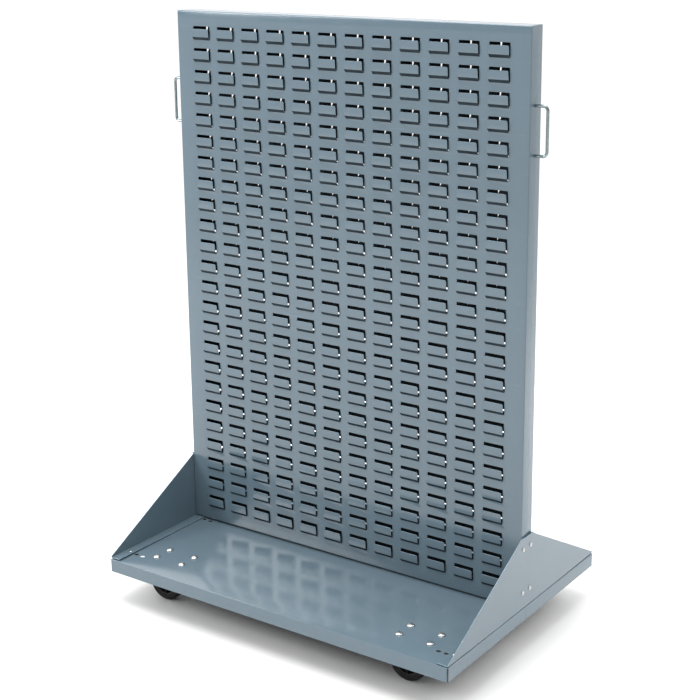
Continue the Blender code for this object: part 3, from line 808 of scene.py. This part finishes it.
def base_tray(name, end):
    """A shallow pan, open below, with a folded flange down each side and slots in its deck."""
    low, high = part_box(name)
    left, right = low.x + TIGHT_RADIUS, high.x - TIGHT_RADIUS
    near, far = low.y + TIGHT_RADIUS, high.y - TIGHT_RADIUS
    loops = [[(left, near), (right, near), (right, far), (left, far)]]
    for side in SIDES.values():
        for x in SLOT_X:
            loops += [obround(side * x, end * y, SLOT_LENGTH, SLOT_WIDTH) for y in SLOT_Y]
    bm = moved(filled_outline(loops), (0, 0, high.z))
    depth = high.z - low.z
    open_corner, closed_corner = TIGHT_RADIUS - SHEET - SEAM, TIGHT_RADIUS
    side_laps = (open_corner, closed_corner) if end < 0 else (closed_corner, open_corner)
    end_laps = (open_corner, open_corner)
    rails = [
        (rail_of(bm, 0, right, 1), (1, 0, 0), side_laps),
        (rail_of(bm, 0, left, 1), (-1, 0, 0), side_laps),
        (rail_of(bm, 1, near, 0), (0, -1, 0), end_laps),
        (rail_of(bm, 1, far, 0), (0, 1, 0), end_laps),
    ]
    for rail, outward, laps in rails:
        fold(bm, rail, outward, (0, 0, 1), depth, laps, TIGHT_RADIUS)
    tray = sheet_part(name + "_sheet", bm)
    # Painted shade: upright rims, the slot walls and flange ends, take the near-black inside coat
    for patch in tray.data.polygons:
        if patch.material_index == EDGE_SLOT and abs(patch.normal.z) < UPRIGHT:
            patch.material_index = DARK_SLOT
    return ride(tray, "rack", "blue_grey_paint", name)


# Gussets


def gusset(name, side):
    """A side plate folded in at its foot to lie on the deck, with a small lip out at its top."""
    low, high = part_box(name)
    half_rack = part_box("rear_louvre_panel")[1].y - TONGUE_REACH
    outer = max(abs(low.x), abs(high.x)) - LIP_REACH
    toe, foot = high.y, low.z + TIGHT_RADIUS
    shoulder = high.z - SHEET - LIP_RADIUS
    steps = GUSSET_FOOT_STEPS
    foot_points = [(-toe + 2 * toe * step / steps, foot) for step in range(steps + 1)]
    outline = [
        *foot_points,
        (toe, low.z + GUSSET_TOE),
        (half_rack, shoulder),
        (-half_rack, shoulder),
        (-toe, low.z + GUSSET_TOE),
    ]
    bm = bmesh.new()
    points = [bm.verts.new((side * outer, y, z)) for y, z in outline]
    bm.faces.new(points if side > 0 else points[::-1])
    reach = outer - min(abs(low.x), abs(high.x))
    normal = (side, 0, 0)
    foot_rail, top_rail = rail_of(bm, 2, foot, 1), rail_of(bm, 2, shoulder, 1)
    fold(bm, foot_rail, (0, 0, -1), normal, reach, radius=TIGHT_RADIUS, tilt=FLANGE_TILT)
    fold(bm, top_rail, (0, 0, 1), normal, LIP_REACH, radius=LIP_RADIUS, toward=1)
    for vert in bm.verts:
        if vert.co.z <= foot + SAME_PLACE:
            vert.co.z += GUSSET_LIFT * (vert.co.y / toe) ** 2
    plate = sheet_part(name + "_sheet", bm)
    plate.material_slots[DARK_SLOT].material = PAINT
    return ride(plate, "rack", "blue_grey_paint", name)


# Fasteners


def dome(radius, height, steps=6):
    """(radius, height) points of a low dome, from its rim to its top."""
    points = [(radius, 0.0), (radius, height * HEAD_RIM)]
    for step in range(1, steps + 1):
        angle = math.pi / 2 * step / steps
        rise = height * (HEAD_RIM + (1 - HEAD_RIM) * math.sin(angle))
        points.append((radius * math.cos(angle), rise))
    points[-1] = (0.0, points[-1][1])
    return points


def screw_mesh(name, head):
    """A pan-head screw standing on z = 0 with a cross recess in its head."""
    radius, height = head
    tip_share, tip_height = SCREW_TIP
    profile = [
        (0.0, -SCREW_LENGTH),
        (SCREW_SHANK * tip_share, -SCREW_LENGTH),
        (SCREW_SHANK, -SCREW_LENGTH + tip_height),
        (SCREW_SHANK, 0.0),
        *dome(radius, height),
    ]
    body = solid(name, spun(profile, SCREW_FACETS), ZINC)
    slots = bmesh.new()
    size = Matrix.Diagonal((radius * RECESS_SPAN, RECESS_WIDTH, height * RECESS_HEIGHT, 1))
    level = Matrix.Translation((0, 0, height * RECESS_LEVEL))
    for turn in (0, math.pi / 2):
        bmesh.ops.create_cube(slots, size=1, matrix=Matrix.Rotation(turn, 4, "Z") @ level @ size)
    cutter = solid(name + "_recess", slots, ZINC)
    cut = body.modifiers.new("recess", "BOOLEAN")
    cut.operation = "DIFFERENCE"
    cut.object = cutter
    cut.use_self = True
    settle(body)
    bpy.data.objects.remove(cutter)
    mesh = body.data
    bpy.data.objects.remove(body)
    return mesh


def place_screw(name, mesh, seat, outward, turn):
    """A copy of the screw with its head's underside at the seat, facing outward."""
    obj = add_object(name + "_head", mesh.copy())
    aim = Vector(outward).to_track_quat("Z", "Y").to_matrix().to_4x4()
    obj.matrix_world = Matrix.Translation(seat) @ aim @ Matrix.Rotation(turn, 4, "Z")
    return ride(obj, "rack", "zinc_plate", name)


def all_screws():
    """A head at each CAD screw, seated where the CAD screw's head starts."""
    rng = random.Random(5)
    big = screw_mesh("pan_head_screw", SCREW_HEAD)
    small = screw_mesh("small_pan_head_screw", PULL_SCREW_HEAD)
    for node in sorted(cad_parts):
        if "_screw_" not in node:
            continue
        low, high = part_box(node)
        middle = (low + high) / 2
        side = -1 if middle.x < 0 else 1
        turn = rng.uniform(0, math.pi)
        if node.startswith("tray"):
            place_screw(node, big, (middle.x, middle.y, high.z - SCREW_HEAD[1]), (0, 0, 1), turn)
        elif node.startswith("gusset"):
            reach = max(abs(low.x), abs(high.x)) - SCREW_HEAD[1]
            place_screw(node, big, (side * reach, middle.y, middle.z), (side, 0, 0), turn)
        else:
            reach = min(abs(low.x), abs(high.x)) + PULL_SCREW_HEAD[1]
            place_screw(node, small, (side * reach, middle.y, middle.z), (-side, 0, 0), turn)


# Wire pulls


def wire_pull(name, side):
    """A round wire bent into a U, standing out from the panel's side."""
    low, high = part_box(name)
    foot = min(abs(low.x), abs(high.x))
    bar = max(abs(low.x), abs(high.x)) - PULL_RADIUS
    y, bottom, top = (low.y + high.y) / 2, low.z + PULL_RADIUS, high.z - PULL_RADIUS
    path = [(foot, bottom), (foot + PULL_FOOT, bottom)]
    for centre, start in ((bottom + PULL_BEND, -90), (top - PULL_BEND, 0)):
        for step in range(PULL_BEND_STEPS + 1):
            angle = math.radians(start + 90 * step / PULL_BEND_STEPS)
            x = bar - PULL_BEND + PULL_BEND * math.cos(angle)
            path.append((x, centre + PULL_BEND * math.sin(angle)))
    path += [(foot + PULL_FOOT, top), (foot, top)]
    curve = bpy.data.curves.new(name, "CURVE")
    curve.dimensions = "3D"
    curve.bevel_depth = PULL_RADIUS
    curve.bevel_resolution = 6
    curve.use_fill_caps = True
    spline = curve.splines.new("POLY")
    spline.points.add(len(path) - 1)
    for point, (x, z) in zip(spline.points, path):
        point.co = (side * x, y, z, 1)
    wire = solid(name + "_wire", bmesh_from_curve(curve), CHROME)
    return ride(wire, "rack", "bright_wire", name)


# Casters


def rounded_plate(half_x, half_y, corner, low, high, steps=5):
    """A closed flat plate with round corners between two levels."""
    bm = bmesh.new()
    points = []
    for sx, sy, start in ((1, 1, 0), (-1, 1, 90), (-1, -1, 180), (1, -1, 270)):
        for step in range(steps + 1):
            angle = math.radians(start + 90 * step / steps)
            x = sx * (half_x - corner) + corner * math.cos(angle)
            y = sy * (half_y - corner) + corner * math.sin(angle)
            points.append(bm.verts.new((x, y, low)))
    base = bm.faces.new(points)
    grown = bmesh.ops.extrude_face_region(bm, geom=[base])["geom"]
    top = [v for v in grown if isinstance(v, bmesh.types.BMVert)]
    bmesh.ops.translate(bm, verts=top, vec=(0, 0, high - low))
    return bm


def bolt_places():
    """The places of a caster's four bolts, from the middle of its plate."""
    half_x, half_y = BOLT_SPACING[0] / 2, BOLT_SPACING[1] / 2
    return [(dx * half_x, dy * half_y) for dx in (-1, 1) for dy in (-1, 1)]


def caster(name, end):
    """A swivel caster on the frame's place and sizes: fixed, swivelling and turning parts."""
    plate_low, plate_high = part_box(name + "_plate")
    tyre_low, tyre_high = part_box(name + "_tyre")
    deck_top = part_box(f"{end}_base_tray")[1].z
    middle = (plate_low + plate_high) / 2
    centre = Vector((middle.x, middle.y, 0))
    wheel = (tyre_low + tyre_high) / 2
    radius, width = (tyre_high.z - tyre_low.z) / 2, tyre_high.y - tyre_low.y
    plate_top = deck_top - SHEET
    plate = caster_plate(name, plate_top)
    bolts = coach_bolts(name, plate_top - PLATE_THICKNESS, deck_top)
    fork = caster_fork(name, wheel - centre)
    axle = caster_axle(name, wheel - centre)
    hub = caster_hub(name, width)
    tyre = caster_tyre(name, radius, width)
    for obj in (plate, bolts, fork, axle):
        obj.location = centre
    for obj in (hub, tyre):
        obj.location = wheel
    ride(plate, "rack", "zinc_plate", name + "_plate")
    ride(bolts, "rack", "zinc_plate")
    ride(fork, name + "_swivel_body", "zinc_plate", name + "_fork")
    ride(axle, name + "_swivel_body", "zinc_plate", name + "_axle")
    ride(hub, name + "_wheel_body", "dark_nylon", name + "_hub")
    ride(tyre, name + "_wheel_body", "black_tread", name + "_tyre")


def caster_plate(name, top):
    """The top plate with its pressed ball race and riveted kingpin."""
    bottom = top - PLATE_THICKNESS
    plate = rounded_plate(*PLATE_HALF, PLATE_CORNER, bottom, top)
    race = [(radius, bottom - depth) for radius, depth in UPPER_RACE]
    pin_top, pin_low = bottom - RACE_DROP + PIN_OVERLAP, CROWN_LEVEL - FORK_SHEET
    pin = [(0.0, pin_top), (PIN_RADIUS, pin_top), (PIN_RADIUS, pin_low)]
    pin += [(radius, pin_low - depth) for radius, depth in RIVET_HEAD]
    whole = joined(plate, spun(race, RACE_FACETS), spun(pin, PIN_FACETS))
    return solid(name + "_top_plate", whole, ZINC, PRESSED_BEVEL)


def coach_bolts(name, nut_top, deck_top):
    """Four round-headed bolts through the deck and the caster's plate, with a nut under each."""
    nut_low = nut_top - NUT_HEIGHT
    tail_low = nut_low - BOLT_TAIL
    head = [(0.0, 0.0), *dome(*BOLT_HEAD, steps=7)]
    shank = [
        (0.0, deck_top),
        (BOLT_SHANK, deck_top),
        (BOLT_SHANK, tail_low + BOLT_TAIL_CHAMFER),
        (BOLT_SHANK * BOLT_TAIL_TAPER, tail_low),
        (0.0, tail_low),
    ]
    parts = []
    for x, y in bolt_places():
        parts.append(moved(spun(head, SCREW_FACETS), (x, y, deck_top)))
        parts.append(moved(prism(NUT_RADIUS, 6, nut_low, nut_top, turn=x + y), (x, y, 0)))
        parts.append(moved(spun(shank, BOLT_FACETS), (x, y, 0)))
    return solid(name + "_coach_bolts", joined(*parts), ZINC, BOLT_BEVEL)


def fork_section(axle_z):
    """(across, height) points up one leg of the fork, over its crown and down the other leg."""
    half = FORK_HALF_INNER + FORK_SHEET
    steps = FORK_EYE_STEPS
    points = [(-half, axle_z - FORK_EYE + (FORK_EYE * 2) * i / steps) for i in range(steps + 1)]
    points += [(-half, axle_z + FORK_EYE + FORK_NECK), (-half, CROWN_LEVEL - FORK_BEND)]
    for step in range(1, FORK_BEND_STEPS + 1):
        angle = math.pi / 2 * step / FORK_BEND_STEPS
        y = -half + FORK_BEND * (1 - math.cos(angle))
        points.append((y, CROWN_LEVEL - FORK_BEND + FORK_BEND * math.sin(angle)))
    return points + [(-y, z) for y, z in reversed(points)]


def fork_reach(axle_x, axle_z, z):
    """The fork's back and front at a height: round under the axle, widening up to the crown."""
    if z <= axle_z + FORK_EYE:
        below = min(z - axle_z, 0.0)
        bulge = math.sqrt(max(FORK_EYE**2 - below**2, FORK_EYE_TIP**2))
        slope = max(z - axle_z, 0.0) * FORK_FRONT_SLOPE
        return axle_x - bulge, axle_x + bulge + slope
    share = (z - axle_z - FORK_EYE) / (CROWN_LEVEL - FORK_BEND - axle_z - FORK_EYE)
    share = min(share, 1.0)
    back, front = axle_x - FORK_EYE, axle_x + FORK_EYE * (1 + FORK_FRONT_SLOPE)
    return (
        back + (-CROWN_HALF - back) * share**FORK_BACK_POWER,
        front + (CROWN_HALF - front) * share,
    )


def caster_fork(name, wheel):
    """The pressed fork with its lower race."""
    bm = bmesh.new()
    rows = []
    for y, z in fork_section(wheel.z):
        back, front = fork_reach(wheel.x, wheel.z, z)
        places = [back + (front - back) * i / FORK_DIVISIONS for i in range(FORK_DIVISIONS + 1)]
        rows.append([bm.verts.new((x, y, z)) for x in places])
    for low_row, high_row in zip(rows, rows[1:]):
        for i in range(FORK_DIVISIONS):
            bm.faces.new((low_row[i], low_row[i + 1], high_row[i + 1], high_row[i]))
    skin = add_object(name + "_fork_skin", mesh_from(name, bm))
    add_shell(skin, FORK_SHEET)
    settle(skin)
    mesh = skin.data
    bpy.data.objects.remove(skin)
    race = [(radius, CROWN_LEVEL - depth) for radius, depth in LOWER_RACE]
    whole = joined(bmesh_from(mesh), spun(race, RACE_FACETS))
    return solid(name + "_pressed_fork", whole, ZINC, PRESSED_BEVEL)


def caster_axle(name, wheel):
    """The axle bolt across the fork, with a washer and a hexagon at each end."""
    outer = FORK_HALF_INNER + FORK_SHEET + AXLE_GAP
    washer, head = outer + WASHER_HEIGHT, outer + HEX_HEIGHT
    parts = [
        prism(AXLE_RADIUS, AXLE_FACETS, -outer - AXLE_TAIL, outer + AXLE_TAIL, "Y"),
        prism(HEX_RADIUS, 6, washer, head, "Y"),
        prism(HEX_RADIUS, 6, -head, -washer, "Y", HEX_TURN),
        prism(WASHER_RADIUS, SCREW_FACETS, outer, washer, "Y"),
        prism(WASHER_RADIUS, SCREW_FACETS, -washer, -outer, "Y"),
    ]
    whole = moved(joined(*parts), (wheel.x, 0, wheel.z))
    return solid(name + "_axle_bolt", whole, ZINC, BOLT_BEVEL)


def caster_hub(name, width):
    """The moulded hub: a boss, a thin web with ribs on it, and a rim."""
    half = width / 2
    profile = [
        (HUB_BORE, -half - BOSS_PROUD),
        (HUB_BOSS, -half - BOSS_PROUD),
        (HUB_BOSS + BOSS_DRAFT, -half + BOSS_DRAFT),
        (HUB_BOSS + BOSS_DRAFT * 2, -WEB_HALF[0]),
        (HUB_RIM - RIM_WALL[0], -WEB_HALF[1]),
        (HUB_RIM - RIM_WALL[1], -half + RIM_SINK[0]),
        (HUB_RIM, -half + RIM_SINK[1]),
    ]
    profile += [(r, -y) for r, y in reversed(profile)]
    parts = [spun(profile, HUB_FACETS, "Y")]
    size = Matrix.Diagonal((HUB_RIM - HUB_BOSS - RIB_GAP, width - RIB_GAP * 2, RIB_THICKNESS, 1))
    place = Matrix.Translation(((HUB_RIM + HUB_BOSS) / 2 - RIB_SHIFT, 0, 0))
    for index in range(RIB_COUNT):
        rib = bmesh.new()
        bmesh.ops.create_cube(rib, size=1, matrix=place @ size)
        parts.append(turned(rib, math.tau * index / RIB_COUNT, "Y"))
    return solid(name + "_moulded_hub", joined(*parts), NYLON, PRESSED_BEVEL)


def caster_tyre(name, radius, width):
    """The tyre on the hub's rim: flat walls, round shoulders and a slightly crowned tread."""
    half, inner = width / 2, radius - TYRE_SHOULDER
    profile = [(TYRE_BORE, -half + TYRE_BEAD), (inner - TYRE_WALL_STEP, -half)]
    for step in range(TYRE_SHOULDER_STEPS + 1):
        share = step / TYRE_SHOULDER_STEPS
        angle = math.pi / 2 * share
        y = -half + TYRE_SHOULDER * (1 - math.cos(angle))
        profile.append((inner + TYRE_SHOULDER * math.sin(angle) - TYRE_CROWN * (1 - share), y))
    profile += [(r, -y) for r, y in reversed(profile)]
    return solid(name + "_tread", spun(profile, TYRE_FACETS, "Y"), RUBBER)


# Studio


def add_camera():
    """A long lens at standing height, to the right of the rack's front."""
    azimuth, elevation = CAMERA_AZIMUTH, CAMERA_ELEVATION
    back = Vector(
        (
            math.sin(azimuth) * math.cos(elevation),
            -math.cos(azimuth) * math.cos(elevation),
            math.sin(elevation),
        )
    )
    right = Vector((math.cos(azimuth), math.sin(azimuth), 0))
    up = back.cross(right)
    c, s = math.cos(CAMERA_ROLL), math.sin(CAMERA_ROLL)
    axes = Matrix((c * right + s * up, c * up - s * right, back)).transposed()
    data = bpy.data.cameras.new("camera")
    data.lens = CAMERA_LENS
    data.sensor_width = CAMERA_SENSOR
    data.shift_y = CAMERA_SHIFT_Y
    data.clip_end = CAMERA_FAR
    camera = add_object("camera", data)
    camera.matrix_world = Matrix.Translation(CAMERA_PLACE) @ axes.to_4x4()
    bpy.context.scene.camera = camera


def add_floor():
    """A large matt floor that stays pale everywhere in view."""
    bm = bmesh.new()
    bmesh.ops.create_grid(bm, x_segments=1, y_segments=1, size=FLOOR_HALF)
    mesh = mesh_from("floor", bm)
    s = Surface("pale_floor", Specular_IOR_Level=0.2)
    tint = s.blend(s.ranged(s.noise(2.0, 4.0), 0.0, 1.0), *FLOOR_COLOURS)
    mesh.materials.append(s.finish(tint, s.ranged(s.noise(6.0), 0.85, 0.95)))
    floor = add_object("floor", mesh)
    floor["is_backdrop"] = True


def add_world():
    """A soft studio: light from above and from SKY_WALLS, and plain white to the camera."""
    world = bpy.data.worlds.new("studio")
    world.use_nodes = True
    bpy.context.scene.world = world
    tree = world.node_tree
    background = tree.nodes["Background"]

    def maths(operation, first, second):
        return maths_node(tree, operation, first, second)

    direction = tree.nodes.new("ShaderNodeTexCoord").outputs["Generated"]
    axes = tree.nodes.new("ShaderNodeSeparateXYZ")
    tree.links.new(direction, axes.inputs["Vector"])
    upward = maths("MAXIMUM", axes.outputs["Z"], 0.0)
    level = maths("ADD", maths("MULTIPLY", upward, SKY_TOP), SKY_LEVEL)
    for aim, strength, spread in SKY_WALLS:
        dot = tree.nodes.new("ShaderNodeVectorMath")
        dot.operation = "DOT_PRODUCT"
        tree.links.new(direction, dot.inputs[0])
        dot.inputs[1].default_value = Vector(aim).normalized()
        glow = maths("POWER", maths("MAXIMUM", dot.outputs["Value"], 0.0), spread)
        level = maths("ADD", level, maths("MULTIPLY", glow, strength))
    seen = tree.nodes.new("ShaderNodeLightPath").outputs["Is Camera Ray"]
    choice = tree.nodes.new("ShaderNodeMix")
    choice.data_type = "FLOAT"
    tree.links.new(seen, choice.inputs[0])
    tree.links.new(level, choice.inputs[2])
    choice.inputs[3].default_value = 1.0
    tree.links.new(choice.outputs[0], background.inputs["Strength"])
    background.inputs["Color"].default_value = (1, 1, 1, 1)


def add_lamps():
    """Soft boxes: front left, overhead, and a small one for the floor on the right, behind."""
    for name, place, target, size, power in LAMPS:
        data = bpy.data.lights.new(name, "AREA")
        data.shape = "DISK"
        data.size = size
        data.energy = power
        lamp = add_object(name, data)
        aim = (Vector(place) - Vector(target)).to_track_quat("Z", "Y").to_matrix().to_4x4()
        lamp.matrix_world = Matrix.Translation(place) @ aim


# Build

bpy.context.scene.view_settings.view_transform = "Standard"
add_camera()
add_floor()
add_world()
add_lamps()
for end_name, end_sign in ENDS.items():
    louvre_panel(f"{end_name}_louvre_panel", end_sign)
    base_tray(f"{end_name}_base_tray", end_sign)
    for side_name in SIDES:
        caster(f"caster_{end_name}_{side_name}", end_name)
for side_name, side_sign in SIDES.items():
    gusset(f"{side_name}_gusset", side_sign)
    wire_pull(f"{side_name}_pull", side_sign)
all_screws()

visual_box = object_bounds()
boxes = {"cad": CAD_BOX, "visual": visual_box}
{key: [list(corner) for corner in box] for key, box in boxes.items()}
